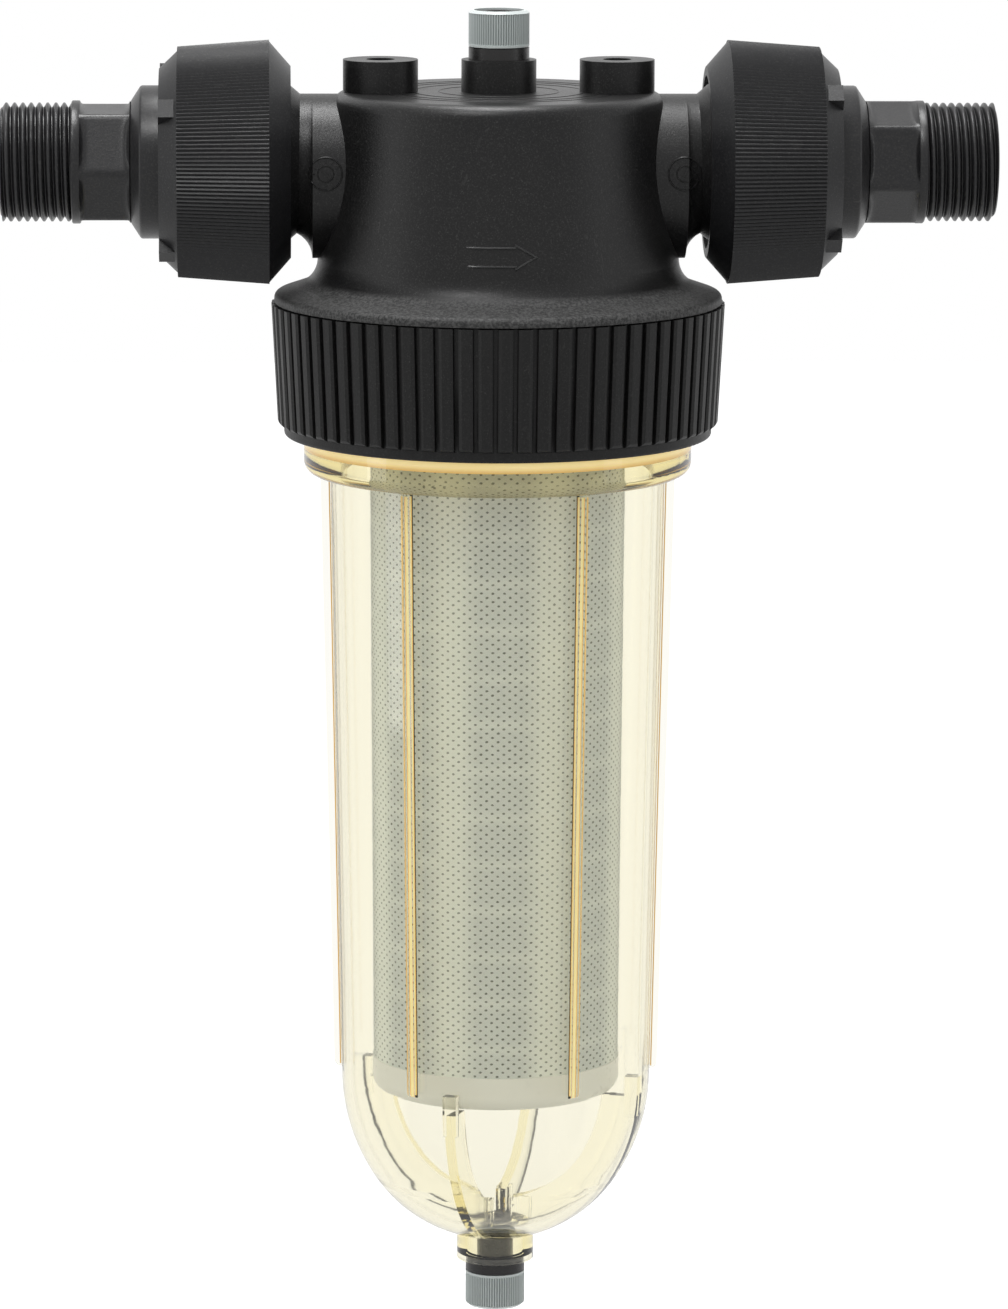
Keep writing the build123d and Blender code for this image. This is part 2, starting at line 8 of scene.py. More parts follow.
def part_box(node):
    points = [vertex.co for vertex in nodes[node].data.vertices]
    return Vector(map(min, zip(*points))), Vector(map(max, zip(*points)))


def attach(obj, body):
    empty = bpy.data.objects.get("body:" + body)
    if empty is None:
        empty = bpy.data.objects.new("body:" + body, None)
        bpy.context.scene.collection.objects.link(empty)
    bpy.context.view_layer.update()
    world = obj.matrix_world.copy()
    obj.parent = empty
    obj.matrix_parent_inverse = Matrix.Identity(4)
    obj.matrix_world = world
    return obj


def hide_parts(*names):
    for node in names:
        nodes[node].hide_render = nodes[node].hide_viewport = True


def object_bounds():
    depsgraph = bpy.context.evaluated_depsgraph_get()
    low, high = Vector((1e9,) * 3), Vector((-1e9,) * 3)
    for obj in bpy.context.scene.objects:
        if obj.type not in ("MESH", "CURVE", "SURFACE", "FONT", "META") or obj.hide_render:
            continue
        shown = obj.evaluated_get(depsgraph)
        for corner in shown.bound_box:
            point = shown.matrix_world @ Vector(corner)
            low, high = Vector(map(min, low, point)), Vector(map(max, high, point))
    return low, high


# Dresses the in-line sediment filter. Lengths are metres; the pipe runs along X, the bowl hangs
# along -Z and the flow arrow is on the front, at -Y.

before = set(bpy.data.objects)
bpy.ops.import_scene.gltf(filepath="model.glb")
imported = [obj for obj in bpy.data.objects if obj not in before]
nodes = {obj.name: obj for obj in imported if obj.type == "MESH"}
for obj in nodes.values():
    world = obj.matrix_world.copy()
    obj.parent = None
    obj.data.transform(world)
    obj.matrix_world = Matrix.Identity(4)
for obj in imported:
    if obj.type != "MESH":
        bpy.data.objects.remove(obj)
cad_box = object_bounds()
mm = 0.001
dot_columns = 71
dot_column_pitch = 3.2 * mm
cloth_girth = dot_columns * dot_column_pitch

pipe_z = sum(corner.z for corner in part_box("outlet_tail")) / 2


# Node groups for the finishes

def open_group(name, inputs, outputs):
    group = bpy.data.node_groups.new(name, "ShaderNodeTree")
    for label, kind, value in inputs:
        socket = group.interface.new_socket(label, in_out="INPUT", socket_type=kind)
        socket.default_value = value
    for label, kind in outputs:
        group.interface.new_socket(label, in_out="OUTPUT", socket_type=kind)
    start = group.nodes.new("NodeGroupInput")
    end = group.nodes.new("NodeGroupOutput")
    return group, start, end


def add_math(tree, operation, first, second=None, clamp=False):
    node = tree.nodes.new("ShaderNodeMath")
    node.operation = operation
    node.use_clamp = clamp
    for place, value in enumerate((first, second)):
        if value is None:
            continue
        if isinstance(value, (int, float)):
            node.inputs[place].default_value = value
        else:
            tree.links.new(value, node.inputs[place])
    return node.outputs[0]


def add_noise(tree, vector, scale, detail=2.0, roughness=0.5):
    node = tree.nodes.new("ShaderNodeTexNoise")
    node.inputs["Detail"].default_value = detail
    node.inputs["Roughness"].default_value = roughness
    if isinstance(scale, (int, float)):
        node.inputs["Scale"].default_value = scale
    else:
        tree.links.new(scale, node.inputs["Scale"])
    tree.links.new(vector, node.inputs["Vector"])
    return node.outputs["Fac"]


def add_range(tree, value, low, high, to_low=0.0, to_high=1.0):
    node = tree.nodes.new("ShaderNodeMapRange")
    limits = (("From Min", low), ("From Max", high), ("To Min", to_low), ("To Max", to_high))
    for label, number in limits:
        node.inputs[label].default_value = number
    tree.links.new(value, node.inputs["Value"])
    return node.outputs["Result"]


def build_moulded_grain():
    """Fine skin of a glass-filled moulding: pale flecks, a pebbled skin and slow flow marks."""
    group, start, end = open_group(
        "moulded_grain",
        [
            ("Vector", "NodeSocketVector", (0.0, 0.0, 0.0)),
            ("Fleck Scale", "NodeSocketFloat", 2200.0),
            ("Skin Scale", "NodeSocketFloat", 700.0),
        ],
        [("Flecks", "NodeSocketFloat"), ("Skin", "NodeSocketFloat"), ("Flow", "NodeSocketFloat")],
    )
    place = start.outputs["Vector"]
    flecks = add_noise(group, place, start.outputs["Fleck Scale"], 1.0, 0.6)
    flecks = add_range(group, flecks, 0.62, 0.8)
    skin = add_noise(group, place, start.outputs["Skin Scale"], 3.0, 0.65)
    flow = add_noise(group, place, 26.0, 3.0, 0.6)
    flow = add_range(group, flow, 0.3, 0.7)
    for value, label in ((flecks, "Flecks"), (skin, "Skin"), (flow, "Flow")):
        group.links.new(value, end.inputs[label])
    return group


def build_handling_marks():
    """Sparse fine scratches and rubbed spots from handling."""
    group, start, end = open_group(
        "handling_marks",
        [("Vector", "NodeSocketVector", (0.0, 0.0, 0.0)), ("Amount", "NodeSocketFloat", 0.5)],
        [("Marks", "NodeSocketFloat")],
    )
    stretch = group.nodes.new("ShaderNodeMapping")
    stretch.inputs["Rotation"].default_value = (0.5, 0.3, 0.9)
    stretch.inputs["Scale"].default_value = (1.0, 14.0, 1.0)
    group.links.new(start.outputs["Vector"], stretch.inputs["Vector"])
    lines = add_noise(group, stretch.outputs["Vector"], 240.0, 1.0, 0.4)
    lines = add_range(group, lines, 0.66, 0.7)
    patches = add_noise(group, start.outputs["Vector"], 60.0, 2.0, 0.5)
    patches = add_range(group, patches, 0.55, 0.68)
    both = add_math(group, "MULTIPLY", lines, patches)
    both = add_math(group, "MULTIPLY", both, start.outputs["Amount"], clamp=True)
    group.links.new(both, end.inputs["Marks"])
    return group


def build_dot_rows():
    """Staggered rows of small oval dots on a cloth, from its unrolled map in metres."""
    group, start, end = open_group(
        "dot_rows",
        [
            ("Vector", "NodeSocketVector", (0.0, 0.0, 0.0)),
            ("Column Pitch", "NodeSocketFloat", dot_column_pitch),
            ("Row Pitch", "NodeSocketFloat", 1.2 * mm),
            ("Dot Width", "NodeSocketFloat", 0.85 * mm),
            ("Dot Height", "NodeSocketFloat", 0.62 * mm),
        ],
        [("Dots", "NodeSocketFloat")],
    )
    split = group.nodes.new("ShaderNodeSeparateXYZ")
    group.links.new(start.outputs["Vector"], split.inputs[0])
    wobble = add_noise(group, start.outputs["Vector"], 900.0, 1.0, 0.5)
    wobble = add_range(group, wobble, 0.0, 1.0, -0.16 * mm, 0.16 * mm)
    along = add_math(group, "ADD", split.outputs["X"], wobble)
    up = add_math(group, "ADD", split.outputs["Y"], wobble)
    row = add_math(group, "DIVIDE", up, start.outputs["Row Pitch"])
    odd = add_math(group, "MODULO", add_math(group, "FLOOR", row), 2.0)
    column = add_math(group, "DIVIDE", along, start.outputs["Column Pitch"])
    column = add_math(group, "ADD", column, add_math(group, "MULTIPLY", odd, 0.5))
    across = add_math(group, "SUBTRACT", add_math(group, "FRACT", column), 0.5)
    above = add_math(group, "SUBTRACT", add_math(group, "FRACT", row), 0.5)
    across = add_math(group, "MULTIPLY", across, start.outputs["Column Pitch"])
    above = add_math(group, "MULTIPLY", above, start.outputs["Row Pitch"])
    across = add_math(group, "DIVIDE", across, start.outputs["Dot Width"])
    above = add_math(group, "DIVIDE", above, start.outputs["Dot Height"])
    reach = add_math(group, "MULTIPLY", across, across)
    reach = add_math(group, "ADD", reach, add_math(group, "MULTIPLY", above, above))
    dots = add_range(group, reach, 0.12, 0.34, 1.0, 0.0)
    group.links.new(dots, end.inputs["Dots"])
    return group


def build_ridge_lines():
    """One on the crests and zero in the grooves of upright ridges round the Z axis."""
    group, start, end = open_group(
        "ridge_lines",
        [("Vector", "NodeSocketVector", (0.0, 0.0, 0.0)), ("Count", "NodeSocketFloat", 72.0)],
        [("Crests", "NodeSocketFloat")],
    )
    split = group.nodes.new("ShaderNodeSeparateXYZ")
    group.links.new(start.outputs["Vector"], split.inputs[0])
    turn = add_math(group, "ARCTAN2", split.outputs["Y"], split.outputs["X"])
    wave = add_math(group, "COSINE", add_math(group, "MULTIPLY", turn, start.outputs["Count"]))
    group.links.new(add_range(group, wave, -0.7, 0.9), end.inputs["Crests"])
    return group


moulded_grain = build_moulded_grain()
ridge_lines = build_ridge_lines()
handling_marks = build_handling_marks()
dot_rows = build_dot_rows()


# Materials

def new_material(name, **values):
    material = bpy.data.materials.new(name)
    material.use_nodes = True
    shader = material.node_tree.nodes["Principled BSDF"]
    for label, value in values.items():
        shader.inputs[label.replace("_", " ")].default_value = value
    return material, material.node_tree, shader


def object_place(tree):
    return tree.nodes.new("ShaderNodeTexCoord").outputs["Object"]


def use_group(tree, group, place, **values):
    node = tree.nodes.new("ShaderNodeGroup")
    node.node_tree = group
    tree.links.new(place, node.inputs["Vector"])
    for label, value in values.items():
        node.inputs[label.replace("_", " ")].default_value = value
    return node.outputs


def add_mix(tree, factor, first, second):
    node = tree.nodes.new("ShaderNodeMix")
    node.data_type = "RGBA"
    sockets = {"Factor": factor, "A": first, "B": second}
    for label, value in sockets.items():
        socket = next(s for s in node.inputs if s.name == label and s.enabled)
        if isinstance(value, tuple):
            socket.default_value = (*value, 1.0)
        elif isinstance(value, (int, float)):
            socket.default_value = value
        else:
            tree.links.new(value, socket)
    return next(s for s in node.outputs if s.enabled)


def add_bump(tree, shader, height, distance, strength=1.0):
    bump = tree.nodes.new("ShaderNodeBump")
    bump.inputs["Distance"].default_value = distance
    bump.inputs["Strength"].default_value = strength
    tree.links.new(height, bump.inputs["Height"])
    tree.links.new(bump.outputs["Normal"], shader.inputs["Normal"])


def shoulder_sheen_band(tree, place):
    """One on the rough-grained, matt face of the head's shoulder over the ring, zero elsewhere; this
    upward face also gets a painted sheen.
    """
    split = tree.nodes.new("ShaderNodeSeparateXYZ")
    tree.links.new(place, split.inputs[0])
    top_z, top_fade = pipe_z - 33.5 * mm, 1.5 * mm
    low_z, low_fade = pipe_z - 43.0 * mm, 0.4 * mm
    below = add_range(tree, split.outputs["Z"], top_z, top_z + top_fade, 1.0, 0.0)
    above = add_range(tree, split.outputs["Z"], low_z, low_z + low_fade)
    return add_math(tree, "MULTIPLY", below, above)


def black_moulding(
    name, dark, light, fleck, rough, sheen, skin_scale, skin_depth, grain_and_sheen_shoulder=False
):
    """Black glass-filled plastic with flecks, a pebbled skin and faint flow marks."""
    material, tree, shader = new_material(name, Specular_IOR_Level=sheen)
    place = object_place(tree)
    grain = use_group(tree, moulded_grain, place, Skin_Scale=skin_scale)
    marks = use_group(tree, handling_marks, place)["Marks"]
    colour = add_mix(tree, grain["Flow"], dark, light)
    colour = add_mix(tree, grain["Flecks"], colour, fleck)
    colour = add_mix(tree, add_range(tree, grain["Skin"], 0.5, 0.7, 0.0, 0.35), colour, fleck)
    colour = add_mix(tree, marks, colour, fleck)
    shine = add_range(tree, grain["Flow"], 0.0, 1.0, rough - 0.05, rough + 0.05)
    shine = add_math(tree, "SUBTRACT", shine, add_math(tree, "MULTIPLY", grain["Flecks"], 0.12))
    # Shoulder: a rough grain, a higher roughness and a lighter grey. The grey is partly the grain and
    # partly a painted sheen on the upward-facing shoulder.
    if grain_and_sheen_shoulder:
        band = shoulder_sheen_band(tree, place)
        pores = add_range(tree, add_noise(tree, place, 1300.0, 2.0, 0.7), 0.4, 0.62)
        grain_and_sheen = add_mix(tree, pores, (0.018, 0.018, 0.018), (0.07, 0.07, 0.069))
        colour = add_mix(tree, band, colour, grain_and_sheen)
        shine = add_math(tree, "ADD", shine, add_math(tree, "MULTIPLY", band, 0.18))
    tree.links.new(colour, shader.inputs["Base Color"])
    tree.links.new(shine, shader.inputs["Roughness"])
    add_bump(tree, shader, grain["Skin"], skin_depth)
    return material


def smooth_moulding(name, colour, shade, rough, sheen):
    """Plain moulded plastic, nearly even, with faint handling marks."""
    material, tree, shader = new_material(name, Specular_IOR_Level=sheen)
    place = object_place(tree)
    grain = use_group(tree, moulded_grain, place, Skin_Scale=1100.0)
    marks = use_group(tree, handling_marks, place, Amount=0.35)["Marks"]
    tone = add_mix(tree, grain["Flow"], colour, shade)
    tree.links.new(add_mix(tree, marks, tone, shade), shader.inputs["Base Color"])
    shine = add_range(tree, grain["Skin"], 0.3, 0.7, rough - 0.05, rough + 0.06)
    shine = add_math(tree, "ADD", shine, add_math(tree, "MULTIPLY", marks, 0.15))
    tree.links.new(shine, shader.inputs["Roughness"])
    add_bump(tree, shader, grain["Skin"], 0.02 * mm)
    return material


def ridge_shaded_grey(name, crest, groove, rim, rough):
    """Grey plastic of the knurled caps, with painted shade in the grooves, lighter crests and painted
    highlights on the pale rims.
    """
    material, tree, shader = new_material(name, Specular_IOR_Level=0.5)
    place = object_place(tree)
    grain = use_group(tree, moulded_grain, place, Skin_Scale=1100.0)
    crests = use_group(tree, ridge_lines, place, Count=72.0)["Crests"]
    # Painted shade and light: the knurl's grooves take the darker colour and its crests the lighter one.
    tone = add_mix(tree, crests, groove, crest)
    split = tree.nodes.new("ShaderNodeSeparateXYZ")
    tree.links.new(place, split.inputs[0])
    rim_highlights = []
    for node in ("vent_cap", "drain_cap"):
        low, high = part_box(node)
        away = add_math(tree, "SUBTRACT", split.outputs["Z"], (low.z + high.z) / 2)
        away = add_math(tree, "ABSOLUTE", away)
        half = (high.z - low.z) / 2
        rims = add_range(tree, away, half - 0.95 * mm, half - 0.75 * mm)
        near = add_range(tree, away, half + 1.0 * mm, half + 2.0 * mm, 1.0, 0.0)
        rim_highlights.append(add_math(tree, "MULTIPLY", rims, near))
    # Painted highlight: pale rims at both ends of each cap.
    tone = add_mix(tree, add_math(tree, "ADD", rim_highlights[0], rim_highlights[1], clamp=True), tone, rim)
    tone = add_mix(tree, add_math(tree, "MULTIPLY", grain["Flow"], 0.15), tone, groove)
    tree.links.new(tone, shader.inputs["Base Color"])
    shine = add_range(tree, grain["Skin"], 0.3, 0.7, rough - 0.05, rough + 0.06)
    tree.links.new(shine, shader.inputs["Roughness"])
    add_bump(tree, shader, grain["Skin"], 0.02 * mm)
    return material


def amber_clear_plastic():
    """Clear plastic whose tint deepens with its thickness."""
    material, tree, shader = new_material(
        "amber_clear_plastic", Transmission_Weight=1.0, IOR=1.5, Metallic=0.0
    )
    shader.inputs["Base Color"].default_value = (1.0, 1.0, 1.0, 1.0)
    place = object_place(tree)
    grain = use_group(tree, moulded_grain, place, Skin_Scale=90.0)
    marks = use_group(tree, handling_marks, place, Amount=0.3)["Marks"]
    shine = add_range(tree, grain["Flow"], 0.0, 1.0, 0.02, 0.05)
    shine = add_math(tree, "ADD", shine, add_math(tree, "MULTIPLY", marks, 0.2))
    tree.links.new(shine, shader.inputs["Roughness"])
    add_bump(tree, shader, grain["Skin"], 0.02 * mm, 0.6)
    tint = tree.nodes.new("ShaderNodeVolumeAbsorption")
    tint.inputs["Color"].default_value = (0.885, 0.765, 0.14, 1.0)
    tint.inputs["Density"].default_value = 48.0
    tree.links.new(tint.outputs["Volume"], tree.nodes["Material Output"].inputs["Volume"])
    return material


def painted_light_plastic(name, core, core_shade, edge_colour, glow):
    """Painted light: opaque amber colour in place of light gathered in clear plastic, with a painted
    highlight along its middle and a painted glow from a faint emission.
    """
    material, tree, shader = new_material(
        name, Roughness=0.3, Specular_IOR_Level=0.3, Emission_Strength=glow
    )
    # Painted glow: a faint amber emission, though the piece is no lamp.
    shader.inputs["Emission Color"].default_value = (1.0, 0.74, 0.24, 1.0)
    across = tree.nodes.new("ShaderNodeUVMap")
    across.uv_map = "across"
    split = tree.nodes.new("ShaderNodeSeparateXYZ")
    tree.links.new(across.outputs["UV"], split.inputs[0])
    # Painted highlight: brightest along the middle, darker amber at the edges.
    off_centre = add_math(tree, "ABSOLUTE", add_math(tree, "SUBTRACT", split.outputs["X"], 0.5))
    edge = add_range(tree, off_centre, 0.16, 0.44)
    grain = use_group(tree, moulded_grain, object_place(tree), Skin_Scale=300.0)
    middle = add_mix(tree, grain["Flow"], core, core_shade)
    tree.links.new(add_mix(tree, edge, middle, edge_colour), shader.inputs["Base Color"])
    add_bump(tree, shader, grain["Skin"], 0.03 * mm, 0.6)
    return material


def milky_plastic():
    """Milky white plastic of the sleeve's end cap."""
    material, tree, shader = new_material("milky_plastic", Specular_IOR_Level=0.5)
    place = object_place(tree)
    grain = use_group(tree, moulded_grain, place, Skin_Scale=300.0)
    tone = add_mix(tree, grain["Flow"], (0.93, 0.95, 0.93), (0.88, 0.90, 0.88))
    tree.links.new(tone, shader.inputs["Base Color"])
    tree.links.new(add_range(tree, grain["Skin"], 0.3, 0.7, 0.25, 0.4), shader.inputs["Roughness"])
    add_bump(tree, shader, grain["Skin"], 0.02 * mm)
    return material


def cage_window_shade(tree, along, up):
    """One over the openings of the cage behind the cloth and zero over its bars; the cloth paints shade
    over the openings.
    """
    window_columns = 8
    column_pitch, row_pitch = cloth_girth / window_columns, 13.3 * mm
    soft = []
    for value, pitch, offset, half_open in (
        (along, column_pitch, 0.5, 0.34), (up, row_pitch, 0.38, 0.42)
    ):
        share = add_math(tree, "ADD", add_math(tree, "DIVIDE", value, pitch), offset)
        share = add_math(tree, "FRACT", share)
        away = add_math(tree, "ABSOLUTE", add_math(tree, "SUBTRACT", share, 0.5))
        soft.append(add_range(tree, away, half_open - 0.12, half_open + 0.08, 1.0, 0.0))
    rows = add_range(tree, soft[1], 0.0, 1.0, 0.6, 1.0)
    return add_math(tree, "MULTIPLY", soft[0], rows)


def filter_cloth():
    """Pale grey-green filter cloth with staggered dots and painted shade over the openings of the cage
    behind it.
    """
    material, tree, shader = new_material("filter_cloth", Roughness=0.85, Specular_IOR_Level=0.25)
    unrolled = tree.nodes.new("ShaderNodeUVMap")
    unrolled.uv_map = "unrolled"
    place = unrolled.outputs["UV"]
    dots = use_group(tree, dot_rows, place)["Dots"]
    fibres = add_noise(tree, place, 2600.0, 3.0, 0.7)
    clouds = add_noise(tree, place, 45.0, 3.0, 0.6)
    split = tree.nodes.new("ShaderNodeSeparateXYZ")
    tree.links.new(place, split.inputs[0])
    window_shade = cage_window_shade(tree, split.outputs["X"], split.outputs["Y"])
    cloth = add_mix(tree, add_range(tree, clouds, 0.3, 0.7), (0.93, 0.985, 0.95), (0.87, 0.93, 0.90))
    # Painted shade: the cloth is darker over the cage's openings.
    cloth = add_mix(tree, add_math(tree, "MULTIPLY", window_shade, 0.6), cloth, (0.50, 0.55, 0.57))
    cloth = add_mix(tree, add_range(tree, fibres, 0.35, 0.7, 0.0, 0.3), cloth, (0.95, 0.97, 0.94))
    # The dots show fully in the painted shade over the openings and fainter over the bars.
    depth = add_range(tree, window_shade, 0.0, 1.0, 0.75, 1.0)
    cloth = add_mix(tree, add_math(tree, "MULTIPLY", dots, depth), cloth, (0.13, 0.15, 0.125))
    tree.links.new(cloth, shader.inputs["Base Color"])
    height = add_math(tree, "SUBTRACT", add_math(tree, "MULTIPLY", fibres, 0.25), dots)
    add_bump(tree, shader, height, 0.15 * mm, 0.8)
    return material


head_black = black_moulding(
    "head_black",
    dark=(0.004, 0.004, 0.0045),
    light=(0.008, 0.0078, 0.0077),
    fleck=(0.045, 0.045, 0.044),
    rough=0.37,
    sheen=0.26,
    skin_scale=2000.0,
    skin_depth=0.07 * mm,
    # The head's shoulder gets a rough grain and a painted sheen.
    grain_and_sheen_shoulder=True,
)
worn_black = black_moulding(
    "worn_black",
    dark=(0.016, 0.016, 0.0165),
    light=(0.030, 0.030, 0.030),
    fleck=(0.08, 0.08, 0.08),
    rough=0.34,
    sheen=0.4,
    skin_scale=2000.0,
    skin_depth=0.04 * mm,
)
ring_black = black_moulding(
    "ring_black",
    dark=(0.005, 0.005, 0.005),
    light=(0.007, 0.007, 0.007),
    fleck=(0.03, 0.03, 0.029),
    rough=0.44,
    sheen=0.22,
    skin_scale=1800.0,
    skin_depth=0.05 * mm,
)
nut_black = black_moulding(
    "nut_black",
    dark=(0.006, 0.006, 0.007),
    light=(0.009, 0.009, 0.010),
    fleck=(0.04, 0.04, 0.04),
    rough=0.42,
    sheen=0.32,
    skin_scale=1800.0,
    skin_depth=0.03 * mm,
)
tail_black = black_moulding(
    "tail_black",
    dark=(0.007, 0.007, 0.008),
    light=(0.010, 0.010, 0.011),
    fleck=(0.05, 0.048, 0.046),
    rough=0.33,
    sheen=0.32,
    skin_scale=1800.0,
    skin_depth=0.04 * mm,
)
plug_black = smooth_moulding(
    "plug_black", (0.007, 0.006, 0.006), (0.010, 0.009, 0.009), rough=0.3, sheen=0.4
)
seal_black = smooth_moulding(
    "seal_black", (0.02, 0.02, 0.02), (0.03, 0.03, 0.03), rough=0.6, sheen=0.25
)
# Caps: painted shade in the grooves, painted light on the crests and rims.
cap_grey = ridge_shaded_grey(
    "cap_grey",
    crest=(0.60, 0.65, 0.64),
    groove=(0.27, 0.305, 0.30),
    rim=(0.62, 0.67, 0.66),
    rough=0.36,
)
inner_white = smooth_moulding(
    "inner_white", (0.76, 0.77, 0.72), (0.70, 0.71, 0.66), rough=0.4, sheen=0.5
)
amber_clear = amber_clear_plastic()
# Painted light in the bowl: amber colour with a faint glow where light gathers in the clear ribs and
# flange.
painted_rib_light = painted_light_plastic(
    "painted_rib_light",
    core=(1.0, 0.94, 0.56),
    core_shade=(1.0, 0.87, 0.44),
    edge_colour=(0.80, 0.42, 0.07),
    glow=0.22,
)
painted_rim_light = painted_light_plastic(
    "painted_rim_light",
    core=(1.0, 0.93, 0.62),
    core_shade=(0.98, 0.85, 0.48),
    edge_colour=(0.82, 0.50, 0.13),
    glow=0.30,
)
milky = milky_plastic()
cloth = filter_cloth()

finishes = {
    "filter_head": head_black,
    "clamp_ring": ring_black,
    "inlet_nut": nut_black,
    "outlet_nut": nut_black,
    "inlet_tail": tail_black,
    "outlet_tail": tail_black,
    "vent_body": plug_black,
    "drain_body": plug_black,
    "vent_cap": cap_grey,
    "drain_cap": cap_grey,
    "clear_bowl": amber_clear,
    "sleeve_cage": inner_white,
    "swirl_vane": inner_white,
    "sleeve_end_cap": milky,
    "filter_sleeve": cloth,
}
for name, node in nodes.items():
    finish = finishes.get(name, seal_black)
    for place in node.material_slots:
        place.material = finish


# Pieces

def finish_piece(name, mesh, material, body):
    """Turn a bmesh into a smooth shaded piece that rides on a body."""
    data = bpy.data.meshes.new(name)
    mesh.to_mesh(data)
    mesh.free()
    data.shade_smooth()
    piece = bpy.data.objects.new(name, data)
    bpy.context.scene.collection.objects.link(piece)
    data.materials.append(material)
    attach(piece, body)
    return piece


def mark_sharp(mesh, angle=35.0):
    """Keep edges hard where their faces meet at more than an angle in degrees."""
    for edge in mesh.edges:
        if len(edge.link_faces) == 2 and edge.calc_face_angle(0.0) > radians(angle):
            edge.smooth = False


def spun(mesh, outline, axis, steps=96):
    """Spin a closed outline of (radius, height) corners about an axis through the origin."""
    across = Vector((0, -1, 0))
    corners = [mesh.verts.new(across * radius + axis * height) for radius, height in outline]
    edges = [mesh.edges.new((corners[i - 1], corners[i])) for i in range(len(corners))]
    bmesh.ops.spin(
        mesh, geom=corners + edges, cent=(0, 0, 0), axis=axis, angle=tau, steps=steps, use_merge=True
    )
    bmesh.ops.remove_doubles(mesh, verts=mesh.verts, dist=1e-7)
    bmesh.ops.recalc_face_normals(mesh, faces=mesh.faces)


head_surface = BVHTree.FromObject(nodes["filter_head"], bpy.context.evaluated_depsgraph_get())


def lay_on_head(mesh):
    """Move a flat drawing back onto the head's front. Its own depth stands proud of the skin."""
    towards = Vector((0, 1, 0))
    for vert in mesh.verts:
        proud = -vert.co.dot(towards)
        flat = vert.co + towards * proud
        hit = head_surface.ray_cast(flat - towards * 0.2, towards)[0]
        if hit is not None:
            vert.co = hit - towards * proud


def raised_bead(mesh, outline, width, height, depth, cuts):
    """Low bead with sloped sides that follows a closed outline in the XZ plane."""
    count = len(outline)
    corners = [Vector((x, depth, z)) for x, z in outline]
    verts = [mesh.verts.new(corner) for corner in corners]
    ring = [mesh.edges.new((verts[i - 1], verts[i])) for i in range(count)]
    along = list(ring)
    for inset, proud in ((width * 0.4, height), (width * 0.6, height), (width, -depth), (0.0, -depth)):
        made = bmesh.ops.extrude_edge_only(mesh, edges=ring)["geom"]
        moved = {item for item in made if isinstance(item, bmesh.types.BMVert)}
        ring = [
            item
            for item in made
            if isinstance(item, bmesh.types.BMEdge) and item.verts[0] in moved and item.verts[1] in moved
        ]
        along += ring
        places = [Vector((x, -proud, z)) for x, z in offset_outline(outline, inset)]
        for vert in moved:
            vert.co = places[min(range(count), key=lambda i: (corners[i] - vert.co).length)]
        corners = places
    bmesh.ops.subdivide_edges(mesh, edges=along, cuts=cuts, use_grid_fill=True)
    bmesh.ops.remove_doubles(mesh, verts=mesh.verts, dist=0.001 * mm)
    bmesh.ops.recalc_face_normals(mesh, faces=mesh.faces)


def offset_outline(outline, distance):
    """Move each side of a closed outline inwards by a distance."""
    result = []
    count = len(outline)
    for i in range(count):
        before, here, after = (Vector(outline[(i + step) % count]) for step in (-1, 0, 1))
        first = (here - before).normalized()
        second = (after - here).normalized()
        first_normal = Vector((-first.y, first.x))
        second_normal = Vector((-second.y, second.x))
        middle = (first_normal + second_normal).normalized()
        reach = distance / max(0.3, middle.dot(first_normal))
        result.append(tuple(here + middle * reach))
    return result


def flow_arrow():
    """Outline of an arrow that points to the outlet, raised on the front of the head.

    The bead is sunk at the tail end, so the arrow is open there.
    """
    tip, neck, tail = 9.6 * mm, 2.7 * mm, -11.4 * mm
    middle = pipe_z - 21.2 * mm
    half_head, half_shaft = 4.0 * mm, 3.0 * mm
    outline = [
        (tail, middle - half_shaft),
        (neck, middle - half_shaft),
        (neck, middle - half_head),
        (tip, middle),
        (neck, middle + half_head),
        (neck, middle + half_shaft),
        (tail, middle + half_shaft),
    ]
    mesh = bmesh.new()
    raised_bead(mesh, outline, width=0.9 * mm, height=0.45 * mm, depth=0.2 * mm, cuts=5)
    for vert in mesh.verts:
        if vert.co.x < tail + 1.0 * mm:
            vert.co.y = max(vert.co.y, 0.15 * mm)
    lay_on_head(mesh)
    bmesh.ops.recalc_face_normals(mesh, faces=mesh.faces)
    mark_sharp(mesh)
    finish_piece("flow_arrow", mesh, worn_black, "head")


def circle_outline(centre_x, centre_z, radius):
    """Corners of a circle in the XZ plane."""
    count = 40
    return [
        (centre_x + radius * cos(tau * i / count), centre_z + radius * sin(tau * i / count))
        for i in range(count)
    ]


def mould_dial(name, centre_x, centre_z, pointer):
    """Moulder's plain date dial: two rings, ticks and a pointer, on the front of a port."""
    mesh = bmesh.new()
    for outer, width in ((4.9 * mm, 0.7 * mm), (2.5 * mm, 0.5 * mm)):
        part = bmesh.new()
        outline = circle_outline(centre_x, centre_z, outer)
        raised_bead(part, outline, width, height=0.3 * mm, depth=0.2 * mm, cuts=1)
        add_part(mesh, part)
    ticks = 12
    for tick in range(ticks):
        turn = tau * tick / ticks
        add_bar(mesh, centre_x, centre_z, turn, 3.1 * mm, 4.1 * mm, 0.28 * mm)
    tip_r = 1.8 * mm
    add_bar(mesh, centre_x, centre_z, pointer, -1.6 * mm, tip_r, 0.45 * mm)
    tip_x = centre_x + tip_r * cos(pointer)
    tip_z = centre_z + tip_r * sin(pointer)
    for side in (-1, 1):
        add_bar(mesh, tip_x, tip_z, pointer + side * radians(145), 0.0, 1.2 * mm, 0.4 * mm)
    lay_on_head(mesh)
    bmesh.ops.recalc_face_normals(mesh, faces=mesh.faces)
    mark_sharp(mesh)
    finish_piece(name, mesh, head_black, "head")


